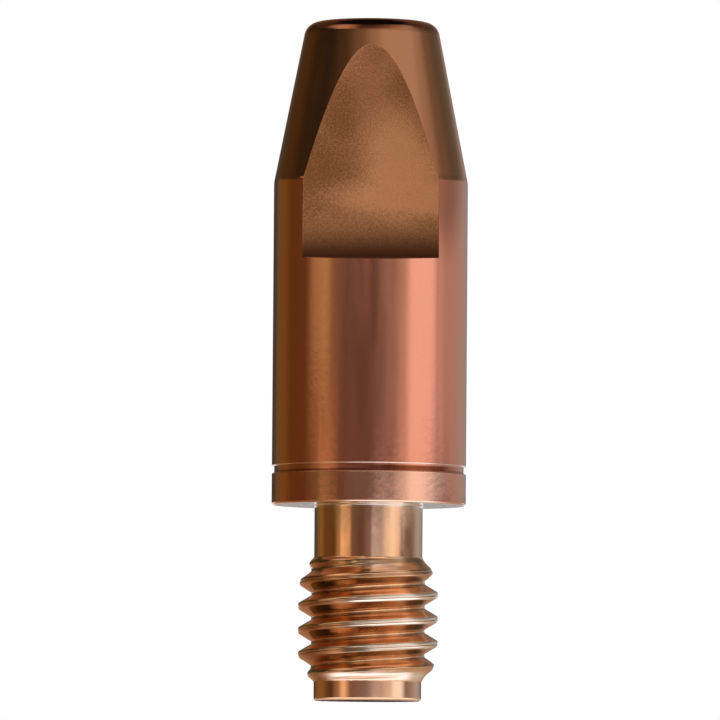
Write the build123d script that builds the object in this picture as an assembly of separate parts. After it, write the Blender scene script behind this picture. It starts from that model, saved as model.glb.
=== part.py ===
"""A contact tip for wire-feed arc welding, turned in one piece from a copper alloy bar.

All sizes are in millimetres. The tip stands on its rear face, which lies in the XY plane, and its
axis is Z. From the bottom up it has a plain pilot, a screw thread, a relieved neck, a collar that
seats on the torch's tip holder, a shallow ring groove, the round body and a tapered nose with two
spanner flats, one facing -Y and one facing +Y. The wire enters at the rear funnel and leaves at
the nose.
"""

from build123d import *
import math
import os

# Lengths along the axis
overall_length = 28.0  # rear face to nose face
thread_end_length = 8.05  # rear face to the collar's seat
pilot_length = 0.8  # plain end below the thread
neck_length = 2.15  # thread's upper end to the collar's seat
collar_length = 1.3  # seat to the ring groove
groove_width = 0.3
nose_length = 6.65  # start of the taper to the nose face
flat_length = 9.9  # foot of the spanner flats to the nose face

# Diameters and widths across the axis
body_diameter = 8.0
nose_diameter = 5.38  # where the taper would meet the nose face, before its edge is rounded
groove_depth = 0.1
across_flats = 5.7
foot_slope = 6.0  # how much the step below each flat falls outwards, in degrees
bore_diameter = 1.2  # for 1.0 mm wire

# The screw thread, M6 x 1 with its crests on the small side, as rolled
thread_major_diameter = 5.8
thread_pitch = 1.0
thread_angle = 60.0  # between the two flanks
thread_start_angle = 41.0  # where the groove's centre line would cross the rear face's plane, from +X
lead_in_angle = 45.0  # lower end of the thread, from the axis
run_out_angle = 36.0  # upper end of the thread, from the axis
pilot_relief = 0.075  # pilot's wall inside the thread's root
neck_relief = 0.06  # neck's wall inside the thread's root

# The rear funnel that guides the wire into the bore
rear_rim_width = 0.7  # end face left round the funnel's mouth
funnel_angle = 60.0  # between the funnel's walls

# Rounded edges
nose_edge_radius = 0.55
taper_edge_radius = 1.0
collar_edge_radius = 0.1
groove_edge_radius = 0.03
rear_edge_radius = 0.12

# Levels and radii that follow from the sizes above
body_radius = body_diameter / 2
nose_radius = nose_diameter / 2
bore_radius = bore_diameter / 2
collar_top = thread_end_length + collar_length
groove_top = collar_top + groove_width
taper_foot = overall_length - nose_length
flat_foot = overall_length - flat_length
thread_top = thread_end_length - neck_length

# The thread form. The crest's flat is an eighth of the pitch, as on any metric thread, and the
# root is round and touches both flanks.
half_angle = math.radians(thread_angle / 2)
major_radius = thread_major_diameter / 2
crest_flat = thread_pitch / 8
vee_apex_radius = major_radius - (thread_pitch - crest_flat) / 2 / math.tan(half_angle)
root_round = thread_pitch / 8 / math.cos(half_angle)
root_radius = vee_apex_radius + root_round / math.sin(half_angle) - root_round
pilot_radius = root_radius - pilot_relief
neck_radius = root_radius - neck_relief


def turned(points, radii):
    """The solid that a lathe leaves, from an outline of (radius, height) points that starts and
    ends on the axis, with one rounding for each corner between the two ends."""
    outline = FilletPolyline(*[(x, 0, z) for x, z in points], radius=radii)
    axis_side = Line(outline @ 1, outline @ 0)
    return revolve(make_face([outline, axis_side]), axis=Axis.Z)


def pilot():
    """The plain end that finds the holder's hole."""
    return turned(
        [(0, 0), (pilot_radius, 0), (pilot_radius, pilot_length), (0, pilot_length)],
        [rear_edge_radius, 0],
    )


def groove_turns():
    """The thread's groove as a stack of single turns, each a little deeper than the blank needs."""
    overshoot = crest_flat / 2
    outer_radius = major_radius + overshoot
    outer_half_width = (outer_radius - vee_apex_radius) * math.tan(half_angle)
    section = make_face(
        FilletPolyline(
            (outer_radius, 0, -outer_half_width),
            (vee_apex_radius, 0, 0),
            (outer_radius, 0, outer_half_width),
            radius=[0, root_round, 0],
            close=True,
        )
    )
    path = Helix(pitch=thread_pitch, height=thread_pitch, radius=root_radius)
    turn = Rot(Z=thread_start_angle) * sweep(section, path, is_frenet=True)
    last = math.ceil(thread_top / thread_pitch)
    return [Pos(Z=index * thread_pitch) * turn for index in range(-1, last + 1)]


def threaded_length():
    """The threaded stretch, cone-ended, between the pilot and the neck."""
    lead_in = (major_radius - pilot_radius) / math.tan(math.radians(lead_in_angle))
    run_out = (major_radius - neck_radius) / math.tan(math.radians(run_out_angle))
    blank = turned(
        [
            (0, pilot_length),
            (pilot_radius, pilot_length),
            (major_radius, pilot_length + lead_in),
            (major_radius, thread_top - run_out),
            (neck_radius, thread_top),
            (0, thread_top),
        ],
        [0, 0, 0, 0],
    )
    for turn in groove_turns():
        blank -= turn
    return blank


def neck_body_and_nose():
    """Everything above the thread, as it leaves the lathe."""
    groove_radius = body_radius - groove_depth
    return turned(
        [
            (0, thread_top),
            (neck_radius, thread_top),
            (neck_radius, thread_end_length),
            (body_radius, thread_end_length),
            (body_radius, collar_top),
            (groove_radius, collar_top),
            (groove_radius, groove_top),
            (body_radius, groove_top),
            (body_radius, taper_foot),
            (nose_radius, overall_length),
            (0, overall_length),
        ],
        [
            0,
            0,
            collar_edge_radius,
            groove_edge_radius,
            0,
            0,
            groove_edge_radius,
            taper_edge_radius,
            nose_edge_radius,
        ],
    )


def flat_cutters():
    """What the mill takes off each side of the nose for the spanner, down to a sloping step."""
    inside = across_flats / 2
    outside = inside + body_radius
    fall = (outside - inside) * math.tan(math.radians(foot_slope))
    above = overall_length + body_radius
    section = make_face(
        Polyline(
            (0, inside, flat_foot),
            (0, outside, flat_foot - fall),
            (0, outside, above),
            (0, inside, above),
            close=True,
        )
    )
    back = extrude(section, amount=body_diameter, both=True)
    return [back, mirror(back, about=Plane.XZ)]


def wire_way():
    """The bore and the funnel that leads into it."""
    mouth_radius = pilot_radius - rear_edge_radius - rear_rim_width
    funnel_depth = (mouth_radius - bore_radius) / math.tan(math.radians(funnel_angle / 2))
    return turned(
        [
            (0, 0),
            (mouth_radius, 0),
            (bore_radius, funnel_depth),
            (bore_radius, overall_length),
            (0, overall_length),
        ],
        [0, 0, 0],
    )


def contact_tip():
    """The whole tip, one solid."""
    tip = pilot() + threaded_length() + neck_body_and_nose()
    for cutter in flat_cutters():
        tip -= cutter
    return tip - wire_way()


os.makedirs("parts", exist_ok=True)
export_step(contact_tip(), "parts/contact_tip.step")
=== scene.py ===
import math

import bmesh
import bpy
from mathutils import Matrix, Vector


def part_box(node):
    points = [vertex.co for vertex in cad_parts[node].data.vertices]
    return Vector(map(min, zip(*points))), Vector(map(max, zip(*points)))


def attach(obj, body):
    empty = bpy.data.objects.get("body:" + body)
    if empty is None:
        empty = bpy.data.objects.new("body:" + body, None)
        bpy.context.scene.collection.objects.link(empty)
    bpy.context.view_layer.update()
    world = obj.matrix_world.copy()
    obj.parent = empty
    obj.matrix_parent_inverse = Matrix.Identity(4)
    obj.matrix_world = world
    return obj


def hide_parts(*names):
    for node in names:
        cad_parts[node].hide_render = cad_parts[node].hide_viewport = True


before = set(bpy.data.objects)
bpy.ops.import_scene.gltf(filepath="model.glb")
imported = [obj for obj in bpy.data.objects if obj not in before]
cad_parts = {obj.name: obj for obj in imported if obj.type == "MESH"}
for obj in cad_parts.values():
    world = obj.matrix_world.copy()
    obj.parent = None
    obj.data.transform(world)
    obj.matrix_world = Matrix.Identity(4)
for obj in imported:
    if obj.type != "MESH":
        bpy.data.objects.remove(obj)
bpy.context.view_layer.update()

# The bar. A round bar of copper alloy, turned to the tip's outline in one setting and drilled
# through for the wire. The threaded end is left as a plain blank, and the nose is still round.
# It is modelled in millimetres and brought to metres when it is finished.
mm = 0.001
lathe_steps = 256
corner_steps = 8
overall_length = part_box("contact_tip")[1].z / mm
body_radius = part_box("contact_tip")[1].x / mm
bore_radius = 0.6
bore_edge = 0.05
funnel_radius = 1.39
funnel_edge = 0.04
funnel_depth = 1.37
pilot_radius = 2.212
pilot_edge = 0.12
pilot_length = 0.8
thread_top = 5.9
neck_radius = 2.227
seat_corner = 0.04
seat_height = 8.05
collar_edge = 0.1
collar_top = 9.35
groove_top = 9.65
groove_depth = 0.1
groove_edge = 0.04
taper_foot = 21.35
taper_edge = 1.0
nose_radius = 2.69
nose_edge = 0.6
blank_radius = 3.0
crease_hold = 0.02
same_place = 1e-5


def rounded(corners, segments):
    """The outline through corners given as (radius, height, rounding), its corners made arcs."""
    outline = []
    points = [Vector((across, 0, up)) for across, up, rounding in corners]
    for index, (across, up, rounding) in enumerate(corners):
        corner = points[index]
        if not rounding:
            outline.append(corner)
            continue
        back = (points[index - 1] - corner).normalized()
        ahead = (points[(index + 1) % len(points)] - corner).normalized()
        half_corner = back.angle(ahead) / 2
        centre = corner + (back + ahead).normalized() * rounding / math.sin(half_corner)
        first = corner + back * rounding / math.tan(half_corner) - centre
        turn = math.pi - 2 * half_corner
        axis = back.cross(first).normalized()
        for step in range(segments + 1):
            outline.append(centre + Matrix.Rotation(turn * step / segments, 3, axis) @ first)
    return outline


def held(points, distance):
    """The same closed outline with a point added near both ends of each long stretch, which keeps
    the stretch straight when the faces are smoothed."""
    outline = []
    for start, end in zip(points, points[1:] + points[:1]):
        outline.append(start)
        length = (end - start).length
        if length > 4 * distance:
            outline += [start.lerp(end, distance / length), end.lerp(start, distance / length)]
    return outline


bar = bmesh.new()
groove_radius = body_radius - groove_depth
bar_outline = rounded(
    [
        (funnel_radius, 0, funnel_edge),
        (pilot_radius, 0, pilot_edge),
        (pilot_radius, pilot_length, 0),
        (blank_radius, pilot_length, 0),
        (blank_radius, thread_top, 0),
        (neck_radius, thread_top, 0),
        (neck_radius, seat_height, seat_corner),
        (body_radius, seat_height, collar_edge),
        (body_radius, collar_top, groove_edge),
        (groove_radius, collar_top, 0),
        (groove_radius, groove_top, 0),
        (body_radius, groove_top, groove_edge),
        (body_radius, taper_foot, taper_edge),
        (nose_radius, overall_length, nose_edge),
        (bore_radius, overall_length, bore_edge),
        (bore_radius, funnel_depth, 0),
    ],
    corner_steps,
)
ring = [bar.verts.new(point) for point in held(bar_outline, crease_hold)]
for start, end in zip(ring, ring[1:] + ring[:1]):
    bar.edges.new((start, end))
bmesh.ops.spin(
    bar,
    geom=bar.verts[:] + bar.edges[:],
    cent=(0, 0, 0),
    axis=(0, 0, 1),
    angle=math.tau,
    steps=lathe_steps,
    use_merge=True,
)
bmesh.ops.remove_doubles(bar, verts=bar.verts, dist=same_place)
bmesh.ops.recalc_face_normals(bar, faces=bar.faces)

# The thread. A right-hand M6 thread of 1 mm pitch, rolled on between the pilot and the neck. Its
# roots are round, its crests close up in a seam, and it grows out of the pilot and the neck. The
# die is a threaded ring that takes everything outside the thread off the blank.
pitch = 1.0
crest_height = 0.385
crest_radius = 2.88
crest_width = 0.24
seam_width = 0.075
seam_depth = 0.028
land_width = crest_width / 2 - seam_width / 2
upper_fall = land_width * math.tan(math.radians(5.5))
lower_fall = land_width * math.tan(math.radians(15))
lip_round = 0.085
root_round = 0.11
half_angle = math.radians(30)
vee_radius = crest_radius - (pitch - crest_width) / 2 / math.tan(half_angle)
root_radius = vee_radius + root_round / math.sin(half_angle) - root_round
first_growth = 1.25
last_growth = 1.5
root_growth = 0.3
soft_start = 0.06
end_clearance = 0.02
die_radius = 3.6
die_steps = 160
die_turns = 8
die_arc_steps = 6
die_spacing = 0.06
die_same_place = 0.002
formed_radius = crest_radius + 0.1


def spaced(points, longest):
    """The same outline with points added along its long stretches."""
    outline = [points[0]]
    for start, end in zip(points, points[1:]):
        pieces = max(1, math.ceil((end - start).length / longest))
        outline += [start.lerp(end, piece / pieces) for piece in range(1, pieces + 1)]
    return outline


def with_borders(faces):
    """Faces with their edges and corners, each once and always in the same order."""
    edges = [e for f in faces for e in f.edges]
    verts = [v for f in faces for v in f.verts]
    return faces + list(dict.fromkeys(edges)) + list(dict.fromkeys(verts))


def wound(mesh, points, height, turns=1):
    """Winds an outline up along the thread from a height, turn on turn."""
    verts = [mesh.verts.new(point + Vector((0, 0, height))) for point in points]
    edges = [mesh.edges.new(pair) for pair in zip(verts, verts[1:])]
    before = set(mesh.verts) - set(verts)
    bmesh.ops.spin(
        mesh,
        geom=verts + edges,
        cent=(0, 0, 0),
        axis=(0, 0, 1),
        dvec=(0, 0, pitch / die_steps),
        angle=math.tau,
        steps=die_steps,
    )
    turn = [f for f in mesh.faces if f.verts[0] not in before]
    for index in range(1, turns):
        copy = bmesh.ops.duplicate(mesh, geom=with_borders(turn))["geom"]
        copied = [v for v in copy if isinstance(v, bmesh.types.BMVert)]
        bmesh.ops.translate(mesh, vec=(0, 0, pitch * index), verts=copied)


def grown(along, length):
    """How far something has grown from 0 to 1, fast after a soft start and then slower."""
    along = max(0, along)
    along *= along / (along + soft_start)
    return 1 - (1 - min(1, along / length)) ** 2


def rolled(out, height):
    """Where a point of the full thread form ends up: near the ends the form is shallower."""
    from_pilot = height - pilot_length
    from_neck = thread_top - height
    depth = grown(from_pilot, first_growth) * grown(from_neck, last_growth)
    at_pilot = pilot_radius + (root_radius - pilot_radius) * grown(from_pilot, root_growth)
    at_neck = neck_radius + (root_radius - neck_radius) * grown(from_neck, root_growth)
    return min(at_pilot, at_neck) + end_clearance * (1 - depth) + (out - root_radius) * depth


die = bmesh.new()
form = rounded(
    [
        (crest_radius - seam_depth, -pitch / 2, 0),
        (crest_radius, -pitch / 2 + seam_width / 2, 0),
        (crest_radius - upper_fall, -pitch / 2 + crest_width / 2, lip_round),
        (vee_radius, 0, root_round),
        (crest_radius - lower_fall, pitch / 2 - crest_width / 2, lip_round),
        (crest_radius, pitch / 2 - seam_width / 2, 0),
        (crest_radius - seam_depth, pitch / 2, 0),
    ],
    die_arc_steps,
)
form = spaced(form, die_spacing)
die_start = crest_height - pitch / 2 - pitch
die_end = die_start + pitch * die_turns
outside = [Vector((die_radius, 0, -pitch / 2)), Vector((die_radius, 0, pitch / 2))]
wound(die, [form[0], outside[0]], die_start)
wound(die, [form[-1], outside[-1]], die_end - pitch)
wound(die, outside, die_start, die_turns)
wound(die, form, die_start, die_turns)
for height in (die_start, die_end):
    end_face = [die.verts.new(point + Vector((0, 0, height))) for point in form + outside[::-1]]
    die.faces.new(end_face)
bmesh.ops.remove_doubles(die, verts=die.verts, dist=die_same_place)
bmesh.ops.recalc_face_normals(die, faces=die.faces)
for vert in die.verts:
    out = vert.co.to_2d().length
    if out < formed_radius:
        vert.co.xy *= rolled(out, vert.co.z) / out

# The spanner flats. Two milled faces, 5.7 mm apart, that run up into the taper and end below at a
# step. The cutter's worn corner leaves the lowest part of each face slightly hollow, so that it
# comes out towards the step, and the edges are broken with a file.
across_flats = 5.7
flat_foot = 18.1
flat_lean = 0.006
foot_slope = math.tan(math.radians(6))
hollow_height = 1.9
hollow_slope = math.tan(math.radians(9))
hollow_strips = 16
edge_break = 0.026
break_depth = 0.011
break_shares = (0.72, 0.28)
mill_width = 12
mill_depth = 3
mill_height = 12
hair = 0.01  # tells a face from the next one
funnel_taper = 0.5  # a little less than the funnel's own, to take in all of its wall
flat_facing = 0.999  # how squarely a flat's face points outwards
hollow_facing = 0.95  # the same for its hollow part
crease_angle = math.radians(28)
mill = bmesh.new()
mill_middle = flat_foot + mill_height / 2
mill_out = across_flats / 2 + break_depth + mill_depth / 2
for side in (-1, 1):
    block = bmesh.ops.create_cube(mill, size=1)["verts"]
    bmesh.ops.scale(mill, vec=(mill_width, mill_depth, mill_height), verts=block)
    bmesh.ops.translate(mill, vec=(0, side * mill_out, mill_middle), verts=block)
    outer_foot = [v for v in block if v.co.y * side > mill_out and v.co.z < mill_middle]
    bmesh.ops.translate(mill, vec=(0, 0, -mill_depth * foot_slope), verts=outer_foot)
    inner_top = [v for v in block if v.co.y * side < mill_out and v.co.z > mill_middle]
    bmesh.ops.translate(mill, vec=(0, side * mill_height * flat_lean, 0), verts=inner_top)


def as_object(name, mesh):
    """An object in the scene from a bmesh, which is used up."""
    data = bpy.data.meshes.new(name)
    mesh.to_mesh(data)
    mesh.free()
    thing = bpy.data.objects.new(name, data)
    bpy.context.scene.collection.objects.link(thing)
    return thing


tip = as_object("contact_tip_body", bar)
for cutter in (as_object("thread_die", die), as_object("flat_mill", mill)):
    cut = tip.modifiers.new("cut", "BOOLEAN")
    cut.operation = "DIFFERENCE"
    cut.solver = "MANIFOLD"
    cut.object = cutter
    cut_mesh = bpy.data.meshes.new_from_object(tip.evaluated_get(bpy.context.evaluated_depsgraph_get()))
    tip.modifiers.clear()
    tip.data = cut_mesh
    bpy.data.objects.remove(cutter)

tip.data.materials.clear()
finished = bmesh.new()
finished.from_mesh(tip.data)
turned_finish, milled_finish, rolled_finish, drilled_finish = range(4)
for face in finished.faces:
    middle = face.calc_center_median()
    across = middle.to_2d().length
    face.material_index = turned_finish
    if middle.z < seat_height + hair:
        face.material_index = rolled_finish
    if across < bore_radius + hair or across < funnel_radius - funnel_taper * middle.z:
        face.material_index = drilled_finish
    if abs(face.normal.y) > flat_facing and middle.z > flat_foot:
        face.material_index = milled_finish


def flat_faces(side):
    """The faces of one spanner flat."""
    milled = [f for f in finished.faces if f.material_index == milled_finish]
    return [f for f in milled if f.calc_center_median().y * side > 0]


for side in (-1, 1):
    for strip in range(1, hollow_strips + 1):
        bmesh.ops.bisect_plane(
            finished,
            geom=with_borders(flat_faces(side)),
            plane_co=(0, 0, flat_foot + hollow_height * strip / hollow_strips),
            plane_no=(0, 0, 1),
        )
    for vert in {v for f in flat_faces(side) for v in f.verts}:
        below = max(0, flat_foot + hollow_height - vert.co.z)
        vert.co.y += side * hollow_slope * below ** 2 / (2 * hollow_height)
for side in (-1, 1):
    for share in break_shares:
        bmesh.ops.inset_region(
            finished,
            faces=[f for f in flat_faces(side) if abs(f.normal.y) > hollow_facing],
            thickness=edge_break / 2,
            depth=-break_depth * share,
            use_even_offset=True,
        )
bmesh.ops.scale(finished, vec=(mm, mm, mm), verts=finished.verts)
for face in finished.faces:
    face.smooth = True
for edge in finished.edges:
    finishes = {f.material_index for f in edge.link_faces}
    edge.smooth = edge.calc_face_angle(0) < crease_angle and len(finishes) == 1
finished.to_mesh(tip.data)
finished.free()
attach(tip, "root")
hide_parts("contact_tip")

# The turned finish, on the collar, the body and the nose. Bare copper alloy, bright drawn along the
# body and turned fine on the taper, with tarnish. Painted shade darkens the nose's rounding, the body
# beside the right-hand flat, the left of the collar and the groove, and painted highlights lighten a
# band across the collar, its lower edge and the groove's upper lip.
# Places in the finishes are in millimetres on the tip, with a mark's centre and reach along X and Z.
noise_levels = (0.3, 0.7)
patch_rim = (0, 0.75)
body_copper = (0.9, 0.38, 0.26, 1)
tarnished_copper = (0.86, 0.35, 0.225, 1)
tarnish_levels = (0.42, 0.72)
tarnish_strength = 0.5
# Painted shade on the body beside the right-hand flat.
flat_side_shade_brown = (0.42, 0.16, 0.095, 1)
flat_side_shade = ((3.0, 21.0), (1.1, 3.6), 0.8)
taper_copper = (0.86, 0.375, 0.2, 1)
taper_start = (21.25, 21.6)
# Painted shade on the nose's rounding, which is darkened.
nose_shade_brown = (0.25, 0.1, 0.06, 1)
nose_shade_heights = (27.42, 27.72)
nose_shade_radii = (1.7, 2.1)
collar_end = (9.32, 9.38)
# Painted highlight: a lighter band across the collar, weaker to the right.
collar_highlight_copper = (1, 0.58, 0.43, 1)
collar_highlight_left = (-1.4, -0.6)
collar_highlight_right = (2.8, 3.5)
collar_highlight_rest = 0.1
# Painted shade on the left of the collar.
collar_shade_brown = (0.55, 0.28, 0.18, 1)
painted_shade_mark = ((-1.8, 8.7), (0.9, 3.0), 1)
# Painted shade in the groove, with a darker line along its middle.
groove_shade_brown = (0.28, 0.08, 0.035, 1)
groove_foot = (9.35, 9.37)
groove_head = (9.55, 9.61)
groove_shade_left = (-0.6, 0.6)
groove_shade_right = (3.0, 3.8)
groove_shade_line = (9.41, 9.46)
groove_shade_line_strength = 0.8
# Painted highlight on the collar's lower edge and on the groove's upper lip.
rim_highlight_copper = (1, 0.88, 0.8, 1)
seat_rim_end = (8.07, 8.13)
groove_rim_start = (9.63, 9.65)
groove_rim_end = (9.67, 9.70)


def metal(name, colour, roughness):
    """A bare metal, with its node tree and the place on the tip that its detail goes by."""
    material = bpy.data.materials.new(name)
    material.use_nodes = True
    tree = material.node_tree
    shader = tree.nodes["Principled BSDF"]
    shader.inputs["Base Color"].default_value = colour
    shader.inputs["Metallic"].default_value = 1
    shader.inputs["Roughness"].default_value = roughness
    tip.data.materials.append(material)
    return tree, shader, tree.nodes.new("ShaderNodeTexCoord").outputs["Object"]


def grain(tree, place, size, stretch=(1, 1, 1), detail=2, roughness=0.5):
    """Noise whose marks are about so many millimetres in size, longer along an axis stretched."""
    mapping = tree.nodes.new("ShaderNodeMapping")
    mapping.inputs["Scale"].default_value = [1 / (mm * size * longer) for longer in stretch]
    noise = tree.nodes.new("ShaderNodeTexNoise")
    noise.inputs["Scale"].default_value = 1
    noise.inputs["Detail"].default_value = detail
    noise.inputs["Roughness"].default_value = roughness
    tree.links.new(place, mapping.inputs["Vector"])
    tree.links.new(mapping.outputs["Vector"], noise.inputs["Vector"])
    return noise.outputs["Fac"]


def ranged(tree, value, span, to_low, to_high, kind="LINEAR"):
    """A value brought from a span to another range, and held at its ends."""
    node = tree.nodes.new("ShaderNodeMapRange")
    node.interpolation_type = kind
    numbers = (*span, to_low, to_high)
    for socket, number in zip(("From Min", "From Max", "To Min", "To Max"), numbers):
        node.inputs[socket].default_value = number
    tree.links.new(value, node.inputs["Value"])
    return node.outputs["Result"]


def rising(tree, value, span, kind="LINEAR"):
    """0 below a span and 1 above it."""
    return ranged(tree, value, span, 0, 1, kind)


def falling(tree, value, span, kind="LINEAR"):
    """1 below a span and 0 above it."""
    return ranged(tree, value, span, 1, 0, kind)


def combined(tree, kind, first, second=0):
    """Arithmetic on two values or outputs."""
    node = tree.nodes.new("ShaderNodeMath")
    node.operation = kind
    for socket, part in zip(node.inputs, (first, second)):
        if isinstance(part, (int, float)):
            socket.default_value = part
        else:
            tree.links.new(part, socket)
    return node.outputs["Value"]


def product(tree, first, *others):
    """Several values multiplied."""
    for other in others:
        first = combined(tree, "MULTIPLY", first, other)
    return first


def largest(tree, first, *others):
    """The largest of several values."""
    for other in others:
        first = combined(tree, "MAXIMUM", first, other)
    return first


def total(tree, first, *others):
    """Several values added up."""
    for other in others:
        first = combined(tree, "ADD", first, other)
    return first


def blended(tree, share, first, second):
    """Two colours, or outputs, mixed by a share. The node's sockets for colours share their names
    with its other sockets, so they go by number."""
    node = tree.nodes.new("ShaderNodeMix")
    node.data_type = "RGBA"
    tree.links.new(share, node.inputs["Factor"])
    for socket, part in ((node.inputs[6], first), (node.inputs[7], second)):
        if isinstance(part, tuple):
            socket.default_value = part
        else:
            tree.links.new(part, socket)
    return node.outputs[2]


def raised(tree, height, depth, below=None):
    """A bump of a depth in millimetres, on top of another one."""
    node = tree.nodes.new("ShaderNodeBump")
    node.inputs["Distance"].default_value = depth * mm
    tree.links.new(height, node.inputs["Height"])
    if below:
        tree.links.new(below, node.inputs["Normal"])
    return node.outputs["Normal"]


def split(tree, place):
    """The place's three parts, in millimetres."""
    node = tree.nodes.new("ShaderNodeSeparateXYZ")
    tree.links.new(place, node.inputs["Vector"])
    return [product(tree, output, 1 / mm) for output in node.outputs]


def from_axis(tree, x, y):
    """How far a place is from the tip's axis."""
    return combined(tree, "SQRT", total(tree, product(tree, x, x), product(tree, y, y)))


def patch(tree, place, centre, reach, strength):
    """A soft round patch seen from the front, as strong as given in its middle and 0 at its rim."""
    around = tree.nodes.new("ShaderNodeMapping")
    around.vector_type = "TEXTURE"
    around.inputs["Location"].default_value = (centre[0] * mm, 0, centre[1] * mm)
    around.inputs["Scale"].default_value = (reach[0] * mm, 1, reach[1] * mm)
    gradient = tree.nodes.new("ShaderNodeTexGradient")
    gradient.gradient_type = "SPHERICAL"
    tree.links.new(place, around.inputs["Vector"])
    tree.links.new(around.outputs["Vector"], gradient.inputs["Vector"])
    return ranged(tree, gradient.outputs["Fac"], patch_rim, 0, strength, "SMOOTHSTEP")


def varied(tree, noise, low, high):
    """A noise brought to a range of its own."""
    return ranged(tree, noise, noise_levels, low, high)


tree, shader, place = metal("turned_copper", body_copper, roughness=0.14)
x, y, z = split(tree, place)
on_taper = rising(tree, z, taper_start)
on_collar = falling(tree, z, collar_end)
tarnish_noise = grain(tree, place, size=2.5, stretch=(1, 1, 4))
tarnish = ranged(tree, tarnish_noise, tarnish_levels, 0, tarnish_strength)
# Masks for the painted shade on the nose's rounding, the collar and the groove, and for the painted
# highlights on the collar and its rims.
painted_shade = product(tree, rising(tree, z, nose_shade_heights), rising(tree, from_axis(tree, x, y), nose_shade_radii))
collar_highlight = product(tree, rising(tree, x, collar_highlight_left), on_collar)
collar_highlight = product(tree, collar_highlight, ranged(tree, x, collar_highlight_right, 1, collar_highlight_rest))
collar_shade = product(tree, patch(tree, place, *painted_shade_mark), on_collar)
in_groove = product(tree, rising(tree, z, groove_foot), falling(tree, z, groove_head))
groove_shade = product(tree, rising(tree, x, groove_shade_left), falling(tree, x, groove_shade_right))
groove_shade = largest(tree, groove_shade, ranged(tree, z, groove_shade_line, groove_shade_line_strength, 0))
groove_shade = product(tree, groove_shade, in_groove)
rim_highlight = product(tree, rising(tree, z, groove_rim_start), falling(tree, z, groove_rim_end))
rim_highlight = largest(tree, falling(tree, z, seat_rim_end), rim_highlight)
# Over the tarnished copper: painted shade beside the right-hand flat, on the nose's rounding, on the
# left of the collar and in the groove, and painted highlights on the collar and along its rims.
colour = blended(tree, tarnish, body_copper, tarnished_copper)
colour = blended(tree, patch(tree, place, *flat_side_shade), colour, flat_side_shade_brown)
colour = blended(tree, on_taper, colour, taper_copper)
colour = blended(tree, painted_shade, colour, nose_shade_brown)
colour = blended(tree, collar_highlight, colour, collar_highlight_copper)
colour = blended(tree, collar_shade, colour, collar_shade_brown)
colour = blended(tree, groove_shade, colour, groove_shade_brown)
colour = blended(tree, rim_highlight, colour, rim_highlight_copper)
tree.links.new(colour, shader.inputs["Base Color"])
wear = grain(tree, place, size=0.5, stretch=(1, 1, 12), detail=3)
tree.links.new(varied(tree, wear, low=0.08, high=0.14), shader.inputs["Roughness"])
skin = raised(tree, grain(tree, place, size=0.22, stretch=(1, 1, 1.3)), depth=0.0022)
drawn = grain(tree, place, size=0.12, stretch=(1, 1, 60))
drawn = raised(tree, drawn, depth=0.0005, below=skin)
rings = product(tree, grain(tree, place, size=0.11, stretch=(200, 200, 1), detail=1), on_taper)
tree.links.new(raised(tree, rings, depth=0.0012, below=drawn), shader.inputs["Normal"])

# The milled finish, on the spanner flats. Matte and fine-grained, as a worn cutter leaves it, with
# painted shade in places, painted highlights on the brighter parts, and painted shade darkening it
# towards the step at its foot.
milled_copper = (0.87, 0.35, 0.18, 1)
# The dark and bright ends of the flats' shade, which carries painted shade and painted highlights as
# well as the grain.
painted_shade_and_grain_copper = (0.385, 0.157, 0.066, 1)
painted_highlight_and_grain_copper = (1, 0.5, 0.26, 1)
# Painted shade, darker towards the step at the flat's foot.
foot_shade_brown = (0.115, 0.042, 0.02, 1)
foot_shade_heights = (18, 19.9)
# Painted highlights on the flats.
highlight_marks = [
    ((1.2, 21.9), (2.2, 3.2), 1.25),
    ((2.2, 20.6), (5.8, 1.1), 1.25),
]
# Painted shade on the flats.
shade_marks = [
    ((-3.0, 21.7), (3.8, 3.2), 0.8),
    ((1.9, 24.7), (1.6, 2.2), 0.48),
    ((-1.4, 24.0), (1.2, 2.7), 0.68),
    ((2.5, 23.1), (0.9, 1.2), 0.48),
]
speckle_strength = 3
blotch_strength = 0.5
plain_shade = -1.8
shade_levels = (-0.9, 1.0)

tree, shader, place = metal("milled_copper", milled_copper, roughness=0.45)
x, y, z = split(tree, place)
grit = grain(tree, place, size=0.085, detail=3, roughness=0.8)
blotches = grain(tree, place, size=1.2)
# Painted highlights and painted shade, with the grain's speckles and blotches.
painted_highlight = largest(tree, *[patch(tree, place, *mark) for mark in highlight_marks])
painted_shade = largest(tree, *[patch(tree, place, *mark) for mark in shade_marks])
speckles = product(tree, grit, speckle_strength)
unevenness = product(tree, blotches, blotch_strength)
shade = total(tree, combined(tree, "SUBTRACT", painted_highlight, painted_shade), speckles, unevenness, plain_shade)
colour = blended(tree, rising(tree, shade, shade_levels), painted_shade_and_grain_copper, painted_highlight_and_grain_copper)
# Painted shade towards the foot.
foot_shade = falling(tree, z, foot_shade_heights, "SMOOTHSTEP")
tree.links.new(blended(tree, foot_shade, colour, foot_shade_brown), shader.inputs["Base Color"])
tree.links.new(varied(tree, blotches, low=0.38, high=0.5), shader.inputs["Roughness"])
tree.links.new(raised(tree, grit, depth=0.012), shader.inputs["Normal"])

# The rolled finish, on the pilot, the thread, the neck and the seat. Burnished bright by the rolling
# die and deepest in colour on the flanks, with painted highlights on the crests, the lead-in, the
# run-out and the seat, and painted shade in the roots.
neck_copper = (0.97, 0.66, 0.45, 1)
flank_copper = (0.74, 0.43, 0.25, 1)
# Painted highlights: the crests, the lead-in and a mark at the run-out are lightened.
crest_highlight_copper = (1, 0.86, 0.76, 1)
# Painted highlight: the seat is lightened towards white.
seat_highlight_copper = (0.97, 0.85, 0.78, 1)
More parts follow.
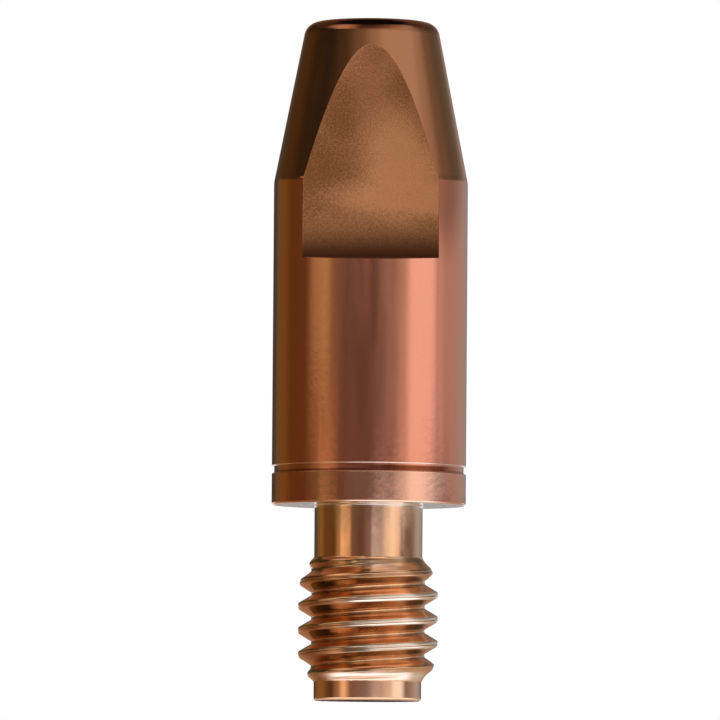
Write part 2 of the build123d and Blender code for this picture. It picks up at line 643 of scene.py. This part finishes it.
# Painted shade in the roots, broken by noise.
root_shade_brown = (0.5, 0.28, 0.17, 1)
thread_start = (0.8, 1.0)
thread_finish = (5.8, 5.9)
lead_in_end = (1.05, 1.25)
crest_radii = (2.76, 2.82)
crest_left = (-1.4, -0.2)
crest_left_highlight = 0.25
run_out_highlight = ((0.4, 5.45), (1.3, 0.3), 1)
root_radii = (2.3, 2.6)
root_start = (1.0, 1.4)
root_finish = (5.5, 5.9)
root_shade_levels = (0.4, 0.6)
root_shade_strength = 0.8
seat_start = (7.9, 8.0)
rolling_stretch = 10

tree, shader, place = metal("rolled_copper", neck_copper, roughness=0.08)
x, y, z = split(tree, place)
across = from_axis(tree, x, y)
on_thread = product(tree, rising(tree, z, thread_start), falling(tree, z, thread_finish))
in_root = product(tree, falling(tree, across, root_radii), rising(tree, z, root_start))
in_root = product(tree, in_root, falling(tree, z, root_finish))
root_noise = grain(tree, place, size=0.6, detail=3)
# Painted shade in the roots.
painted_shade_mark = product(tree, in_root, ranged(tree, root_noise, root_shade_levels, 0, root_shade_strength))
# Painted highlights on the crests, weaker on the left, on the lead-in and at the run-out.
on_crest = product(tree, rising(tree, across, crest_radii), on_thread)
on_crest = product(tree, on_crest, ranged(tree, x, crest_left, crest_left_highlight, 1))
on_lead_in = product(tree, falling(tree, z, lead_in_end), on_thread)
thread_highlight = largest(tree, on_crest, on_lead_in, patch(tree, place, *run_out_highlight))
colour = blended(tree, on_thread, neck_copper, flank_copper)
colour = blended(tree, thread_highlight, colour, crest_highlight_copper)
# Painted highlight on the seat.
colour = blended(tree, rising(tree, z, seat_start), colour, seat_highlight_copper)
tree.links.new(blended(tree, painted_shade_mark, colour, root_shade_brown), shader.inputs["Base Color"])
wear = grain(tree, place, size=0.3, stretch=(1, 1, 3), detail=3)
tree.links.new(varied(tree, wear, low=0.04, high=0.09), shader.inputs["Roughness"])
turns = product(tree, z, math.tau / pitch)
phase = combined(tree, "SUBTRACT", turns, combined(tree, "ARCTAN2", y, x))
along_thread = tree.nodes.new("ShaderNodeCombineXYZ")
tree.links.new(product(tree, combined(tree, "COSINE", phase), mm), along_thread.inputs["X"])
tree.links.new(product(tree, combined(tree, "SINE", phase), mm), along_thread.inputs["Y"])
tree.links.new(product(tree, z, mm / rolling_stretch), along_thread.inputs["Z"])
streaks = product(tree, grain(tree, along_thread.outputs["Vector"], size=0.18), on_thread)
streaks = raised(tree, streaks, depth=0.006)
skin = grain(tree, place, size=0.2, stretch=(1, 1, 2))
tree.links.new(raised(tree, skin, depth=0.0005, below=streaks), shader.inputs["Normal"])

# The drilled finish, in the bore and its funnel. Dull and dark, with the rings that the drill and
# the countersink leave round the walls.
drilled_copper = (0.6, 0.24, 0.14, 1)

tree, shader, place = metal("drilled_copper", drilled_copper, roughness=0.35)
rings = grain(tree, place, size=0.09, stretch=(200, 200, 1))
tree.links.new(varied(tree, rings, low=0.25, high=0.45), shader.inputs["Roughness"])
tree.links.new(raised(tree, rings, depth=0.003), shader.inputs["Normal"])

# The floor. Matte white paper that takes the tip's shadow. It is seen from above only: the camera
# stands below its level, and looks through it.
paper_white = (0.92, 0.92, 0.92, 1)
floor_size = 30
floor_gap = 0.01 * mm
floor_mesh = bmesh.new()
bmesh.ops.create_grid(floor_mesh, x_segments=1, y_segments=1, size=floor_size)
bmesh.ops.translate(floor_mesh, vec=(0, 0, -floor_gap), verts=floor_mesh.verts)
floor = as_object("floor", floor_mesh)
paper = bpy.data.materials.new("white_paper")
paper.use_nodes = True
paper_nodes = paper.node_tree.nodes
paper_links = paper.node_tree.links
paper_shader = paper_nodes["Principled BSDF"]
paper_shader.inputs["Base Color"].default_value = paper_white
paper_shader.inputs["Roughness"].default_value = 1
paper_shader.inputs["Specular IOR Level"].default_value = 0
see_through = paper_nodes.new("ShaderNodeBsdfTransparent")
from_below = paper_nodes.new("ShaderNodeNewGeometry")
paper_sides = paper_nodes.new("ShaderNodeMixShader")
paper_links.new(from_below.outputs["Backfacing"], paper_sides.inputs["Fac"])
paper_links.new(paper_shader.outputs["BSDF"], paper_sides.inputs[1])
paper_links.new(see_through.outputs["BSDF"], paper_sides.inputs[2])
paper_links.new(paper_sides.outputs["Shader"], paper_nodes["Material Output"].inputs["Surface"])
floor.data.materials.append(paper)

# The booth. Rings of upright cloths that glow softly and show in the metal as upright bands, with
# a long white window, a short golden one and two dim strips hung over them. A cloth is a bearing
# in degrees to the right of the camera, and a colour. The studio's sizes are in millimetres too.
booth_radius = 400
booth_height = 700
round_segments = 96
foot_cloths = [
    (-180, 0.02, 0.02, 0.02),
    (-120, 0.24, 0.12, 0.035),
    (-85, 0.1, 0.045, 0.015),
    (-68, 0.3, 0.17, 0.1),
    (-53, 0.9, 0.55, 0.35),
    (-36, 0.22, 0.12, 0.08),
    (-10, 0.22, 0.15, 0.14),
    (25, 0.5, 0.4, 0.4),
    (48, 0.7, 0.55, 0.5),
    (62, 1.0, 1.0, 0.95),
    (74, 1.0, 1.0, 0.95),
    (92, 0.28, 0.19, 0.17),
    (130, 0.42, 0.38, 0.38),
    (180, 0.02, 0.02, 0.02),
]
low_cloths = [
    (-180, 0.02, 0.02, 0.02),
    (-150, 0.08, 0.07, 0.05),
    (-120, 0.24, 0.12, 0.035),
    (-104, 0.14, 0.06, 0.02),
    (-78, 0.12, 0.05, 0.015),
    (-66, 0.4, 0.22, 0.1),
    (-58, 0.95, 0.58, 0.32),
    (-43, 0.8, 0.48, 0.26),
    (-34, 0.18, 0.09, 0.055),
    (-16, 0.13, 0.06, 0.04),
    (2, 0.24, 0.15, 0.12),
    (11, 0.6, 0.52, 0.54),
    (28, 0.62, 0.5, 0.5),
    (42, 0.95, 0.76, 0.6),
    (54, 1.0, 0.82, 0.68),
    (65, 0.84, 0.6, 0.46),
    (77, 0.16, 0.1, 0.08),
    (100, 0.16, 0.1, 0.075),
    (130, 0.38, 0.36, 0.4),
    (155, 0.3, 0.3, 0.3),
    (180, 0.02, 0.02, 0.02),
]
middle_cloths = [
    (-180, 0.03, 0.03, 0.03),
    (-152, 0.07, 0.07, 0.05),
    (-140, 0.16, 0.13, 0.05),
    (-124, 0.18, 0.12, 0.03),
    (-106, 0.12, 0.07, 0.022),
    (-84, 0.13, 0.075, 0.026),
    (-66, 0.42, 0.35, 0.17),
    (-55, 0.48, 0.44, 0.21),
    (-42, 0.22, 0.18, 0.11),
    (-26, 0.125, 0.1, 0.075),
    (0, 0.115, 0.09, 0.072),
    (24, 0.24, 0.23, 0.2),
    (40, 0.46, 0.42, 0.38),
    (52, 0.95, 0.88, 0.85),
    (76, 0.97, 0.9, 0.87),
    (90, 0.58, 0.55, 0.54),
    (104, 0.47, 0.43, 0.41),
    (138, 0.41, 0.45, 0.44),
    (160, 0.35, 0.35, 0.35),
    (180, 0.03, 0.03, 0.03),
]
high_cloths = [
    (-180, 0.3, 0.15, 0.08),
    (-166, 0.3, 0.15, 0.08),
    (-150, 0.06, 0.05, 0.03),
    (-124, 0.07, 0.048, 0.02),
    (-98, 0.033, 0.028, 0.015),
    (-74, 0.025, 0.024, 0.017),
    (-48, 0.055, 0.05, 0.03),
    (-20, 0.17, 0.155, 0.12),
    (6, 0.34, 0.32, 0.26),
    (24, 0.46, 0.45, 0.41),
    (68, 0.46, 0.46, 0.43),
    (84, 0.36, 0.34, 0.31),
    (102, 0.18, 0.17, 0.14),
    (122, 0.12, 0.13, 0.11),
    (145, 0.13, 0.15, 0.15),
    (166, 0.3, 0.18, 0.12),
    (180, 0.3, 0.15, 0.08),
]
top_cloths = [
    (-180, 0.3, 0.15, 0.08),
    (-140, 0.2, 0.12, 0.06),
    (-104, 0.15, 0.1, 0.06),
    (-84, 0.7, 0.55, 0.45),
    (-70, 1.0, 0.82, 0.7),
    (-52, 0.9, 0.7, 0.5),
    (-36, 0.5, 0.33, 0.22),
    (-24, 0.13, 0.09, 0.07),
    (0, 0.13, 0.09, 0.07),
    (24, 0.28, 0.2, 0.15),
    (50, 0.55, 0.42, 0.32),
    (80, 0.7, 0.7, 0.7),
    (104, 0.2, 0.15, 0.12),
    (150, 0.3, 0.2, 0.15),
    (180, 0.3, 0.15, 0.08),
]
low_start = (12, 15)
middle_start = (22.4, 24)
high_start = (65, 115)
top_start = (250, 300)
ceiling_dusk = (550, 700)
dusk = 0.8
black = (0.02, 0.02, 0.02, 1)
window_white = (1, 0.95, 0.85, 1)
window_bearings = (-31.5, 82, 17)
window_heights = (65, 98, 12)
window_strength = 1.6
gold = (1, 0.75, 0.5, 1)
gold_bearings = (-92, -54.5, 11.5)
gold_heights = (112, 138, 10)
dim_brown = (0.08, 0.06, 0.04, 1)
dim_left_bearings = (-77.5, -35.5, 17)
dim_right_bearings = (5.7, 28.6, 11.5)
dim_heights = (23.8, 32.5, 3)
dim_strength = 0.95


def glowing(name, thing):
    """A cloth that glows by itself on a thing: its node tree, its glow and the place on it."""
    material = bpy.data.materials.new(name)
    material.use_nodes = True
    tree = material.node_tree
    tree.nodes.remove(tree.nodes["Principled BSDF"])
    glow = tree.nodes.new("ShaderNodeEmission")
    tree.links.new(glow.outputs["Emission"], tree.nodes["Material Output"].inputs["Surface"])
    thing.data.materials.append(material)
    return tree, glow, tree.nodes.new("ShaderNodeTexCoord").outputs["Object"]


def bearing_from(tree, x, y):
    """A place's bearing from the tip, in degrees to the right of the camera."""
    return combined(tree, "DEGREES", combined(tree, "ARCTAN2", x, product(tree, y, -1)))


def hung(tree, bearing, cloths):
    """The colour of a ring of cloths at a bearing."""
    node = tree.nodes.new("ShaderNodeValToRGB")
    node.color_ramp.interpolation = "EASE"
    elements = node.color_ramp.elements
    while len(elements) < len(cloths):
        elements.new(0.5)
    for element, (degrees, *colour) in zip(elements, cloths):
        element.position = (degrees + 180) / 360
        element.color = (*colour, 1)
    tree.links.new(rising(tree, bearing, (-180, 180)), node.inputs["Fac"])
    return node.outputs["Color"]


def between(tree, value, first, last, soft):
    """1 where a value is between two limits and 0 outside them, with soft edges."""
    above_first = rising(tree, value, (first - soft / 2, first + soft / 2), "SMOOTHSTEP")
    below_last = falling(tree, value, (last - soft / 2, last + soft / 2), "SMOOTHSTEP")
    return product(tree, above_first, below_last)


booth_mesh = bmesh.new()
bmesh.ops.create_circle(booth_mesh, segments=round_segments, radius=booth_radius * mm)
wall = bmesh.ops.extrude_edge_only(booth_mesh, edges=booth_mesh.edges[:])["geom"]
upper_rim = [v for v in wall if isinstance(v, bmesh.types.BMVert)]
bmesh.ops.translate(booth_mesh, vec=(0, 0, booth_height * mm), verts=upper_rim)
booth = as_object("booth", booth_mesh)
tree, glow, place = glowing("booth_cloth", booth)
x, y, z = split(tree, place)
bearing = bearing_from(tree, x, y)
levels = (foot_cloths, low_cloths, middle_cloths, high_cloths, top_cloths)
at_foot, low, middle, high, top = [hung(tree, bearing, cloths) for cloths in levels]
light = blended(tree, rising(tree, z, low_start), at_foot, low)
light = blended(tree, rising(tree, z, middle_start), light, middle)
light = blended(tree, rising(tree, z, high_start, "SMOOTHSTEP"), light, high)
light = blended(tree, rising(tree, z, top_start), light, top)
light = blended(tree, ranged(tree, z, ceiling_dusk, 0, dusk), light, black)
in_window = product(tree, between(tree, bearing, *window_bearings), between(tree, z, *window_heights))
light = blended(tree, in_window, light, window_white)
in_gold = product(tree, between(tree, bearing, *gold_bearings), between(tree, z, *gold_heights))
light = blended(tree, in_gold, light, gold)
dim_sides = [between(tree, bearing, *bearings) for bearings in (dim_left_bearings, dim_right_bearings)]
in_dim = product(tree, largest(tree, *dim_sides), between(tree, z, *dim_heights), dim_strength)
light = blended(tree, in_dim, light, dim_brown)
tree.links.new(light, glow.inputs["Color"])
tree.links.new(ranged(tree, in_window, (0, 1), 1, window_strength), glow.inputs["Strength"])

# The mat. A round cloth on the paper, from the tip's foot to the booth. It gives the undersides of
# the thread and of the collar their bands: a white ring and a lip near the tip, a grey runner with
# a white card behind it, and dark and pale cloths that go on from the booth's.
mat_inner_radius = 2.3
near_cloths = [
    (-180, 0.5, 0.3, 0.18),
    (-150, 0.42, 0.22, 0.12),
    (-90, 0.22, 0.1, 0.05),
    (-62, 0.35, 0.2, 0.11),
    (-44, 0.6, 0.36, 0.2),
    (-26, 0.12, 0.07, 0.04),
    (-6, 0.14, 0.1, 0.07),
    (14, 0.7, 0.62, 0.56),
    (48, 0.62, 0.54, 0.45),
    (90, 0.6, 0.5, 0.4),
    (150, 0.4, 0.28, 0.2),
    (180, 0.5, 0.3, 0.18),
]
far_cloths = [
    (-180, 0.95, 0.95, 0.95),
    (-158, 0.9, 0.9, 0.9),
    (-140, 0.2, 0.16, 0.1),
    (-120, 0.18, 0.12, 0.035),
    (-104, 0.14, 0.07, 0.02),
    (-78, 0.12, 0.06, 0.018),
    (-66, 0.3, 0.2, 0.1),
    (-57, 0.6, 0.45, 0.25),
    (-42, 0.6, 0.45, 0.25),
    (-33, 0.2, 0.13, 0.08),
    (-16, 0.14, 0.08, 0.055),
    (2, 0.16, 0.12, 0.09),
    (14, 0.3, 0.26, 0.25),
    (34, 0.5, 0.45, 0.4),
    (50, 0.95, 0.88, 0.78),
    (72, 0.95, 0.88, 0.75),
    (84, 0.4, 0.32, 0.28),
    (100, 0.3, 0.25, 0.22),
    (130, 0.4, 0.4, 0.4),
    (156, 0.9, 0.9, 0.9),
    (180, 0.95, 0.95, 0.95),
]
far_start = (30, 80)
ring_white = (1, 0.95, 0.92, 1)
ring_start = (6.5, 8.5)
ring_end = (14, 40)
ring_bearings = (-28.5, 89, 28.5)
lip_white = (1, 0.95, 0.95, 1)
lip_bearings = (-54.5, 69, 40)
lip_radii = (2, 3, 0.3)
white_strength = 1.4
runner_grey = (0.25, 0.22, 0.22, 1)
runner_width = (-12, 12, 4)
runner_length = (150, 260, 20)
card_white = (1, 0.97, 0.95, 1)
card_width = (-2.5, 2.5, 2)

mat_mesh = bmesh.new()
bmesh.ops.create_circle(mat_mesh, segments=round_segments, radius=mat_inner_radius * mm)
bmesh.ops.translate(mat_mesh, vec=(0, 0, floor_gap), verts=mat_mesh.verts)
brim = bmesh.ops.extrude_edge_only(mat_mesh, edges=mat_mesh.edges[:])["geom"]
outer_rim = [v for v in brim if isinstance(v, bmesh.types.BMVert)]
growth = booth_radius / mat_inner_radius
bmesh.ops.scale(mat_mesh, vec=(growth, growth, 1), verts=outer_rim)
mat = as_object("mat", mat_mesh)
tree, glow, place = glowing("mat_cloth", mat)
x, y, z = split(tree, place)
bearing = bearing_from(tree, x, y)
across = from_axis(tree, x, y)
near, far = [hung(tree, bearing, cloths) for cloths in (near_cloths, far_cloths)]
light = blended(tree, rising(tree, across, far_start), near, far)
in_ring = product(
    tree,
    rising(tree, across, ring_start, "SMOOTHSTEP"),
    falling(tree, across, ring_end, "SMOOTHSTEP"),
    between(tree, bearing, *ring_bearings),
)
light = blended(tree, in_ring, light, ring_white)
in_lip = product(tree, between(tree, bearing, *lip_bearings), between(tree, across, *lip_radii))
light = blended(tree, in_lip, light, lip_white)
in_runner = product(tree, between(tree, x, *runner_width), between(tree, y, *runner_length))
light = blended(tree, in_runner, light, runner_grey)
in_card = product(tree, between(tree, x, *card_width), in_runner)
light = blended(tree, in_card, light, card_white)
tree.links.new(light, glow.inputs["Color"])
in_white = largest(tree, in_ring, in_lip)
tree.links.new(ranged(tree, in_white, (0, 1), 1, white_strength), glow.inputs["Strength"])

# The ceiling and the light. A black cloth closes the booth. The booth, the mat and the ceiling are
# for the metal alone: the camera and the floor see the white room outside, which lights the floor
# with a little help from a wide, faint softbox.
ceiling_mesh = bmesh.new()
bmesh.ops.create_circle(ceiling_mesh, cap_ends=True, segments=round_segments, radius=booth_radius * mm)
bmesh.ops.translate(ceiling_mesh, vec=(0, 0, booth_height * mm), verts=ceiling_mesh.verts)
ceiling = as_object("ceiling", ceiling_mesh)
tree, glow, place = glowing("black_cloth", ceiling)
glow.inputs["Color"].default_value = black
for cover in (booth, mat, ceiling):
    cover.visible_camera = False
    cover.visible_diffuse = False
    cover.visible_shadow = False

room = bpy.data.worlds.new("studio")
bpy.context.scene.world = room
room.use_nodes = True
room.node_tree.nodes["Background"].inputs["Color"].default_value = (1, 1, 1, 1)
softbox_radius = 380 * mm
softbox_height = 450 * mm
softbox_level = 0.1
softbox_data = bpy.data.lights.new("floor_softbox", "AREA")
softbox_data.shape = "DISK"
softbox_data.size = 2 * softbox_radius
softbox_data.energy = softbox_level * math.pi * math.pi * softbox_radius ** 2
softbox = bpy.data.objects.new("floor_softbox", softbox_data)
softbox.location.z = softbox_height
softbox.visible_camera = False
softbox.visible_glossy = False
bpy.context.scene.collection.objects.link(softbox)

# The camera. It stands in front of the tip and a little below it, with a long lens, and looks up
# at it, as the photograph's does.
camera_place = Vector((-0.4, -350, -5.5)) * mm
camera_tilt = math.radians(3.198)
camera_roll = math.radians(0.42)
camera_data = bpy.data.cameras.new("camera")
camera_data.lens = 425.2
camera_data.clip_start = 0.01
camera = bpy.data.objects.new("camera", camera_data)
bpy.context.scene.collection.objects.link(camera)
camera.matrix_world = (
    Matrix.Translation(camera_place)
    @ Matrix.Rotation(math.pi / 2 + camera_tilt, 4, "X")
    @ Matrix.Rotation(camera_roll, 4, "Z")
)
bpy.context.scene.camera = camera
bpy.context.scene.view_settings.view_transform = "Standard"
